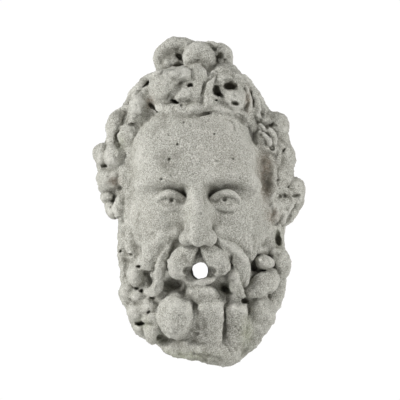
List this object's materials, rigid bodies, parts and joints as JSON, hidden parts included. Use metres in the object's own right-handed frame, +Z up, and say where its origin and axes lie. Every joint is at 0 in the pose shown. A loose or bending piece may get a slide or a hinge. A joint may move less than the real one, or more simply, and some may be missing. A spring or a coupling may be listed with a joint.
{
  "type": "fountain mask",
  "caption": "Stone fountain mask: a bearded man's head in high relief with curled hair, a full moustache, a round spout hole through the open mouth and a flat back for the wall.",
  "frame": {"origin": "on the flat back, on the face's centre line, at half the height", "axes": "+Z up; the face looks towards -Y and the flat back's outward normal is +Y; +X is to the viewer's right"},
  "size_m": [0.2921, 0.1948, 0.4497],
  "materials": {
    "stone": "weathered, grainy carved stone, matt"
  },
  "bodies": {
    "root": {"mask": "stone"}
  },
  "joints": []
}
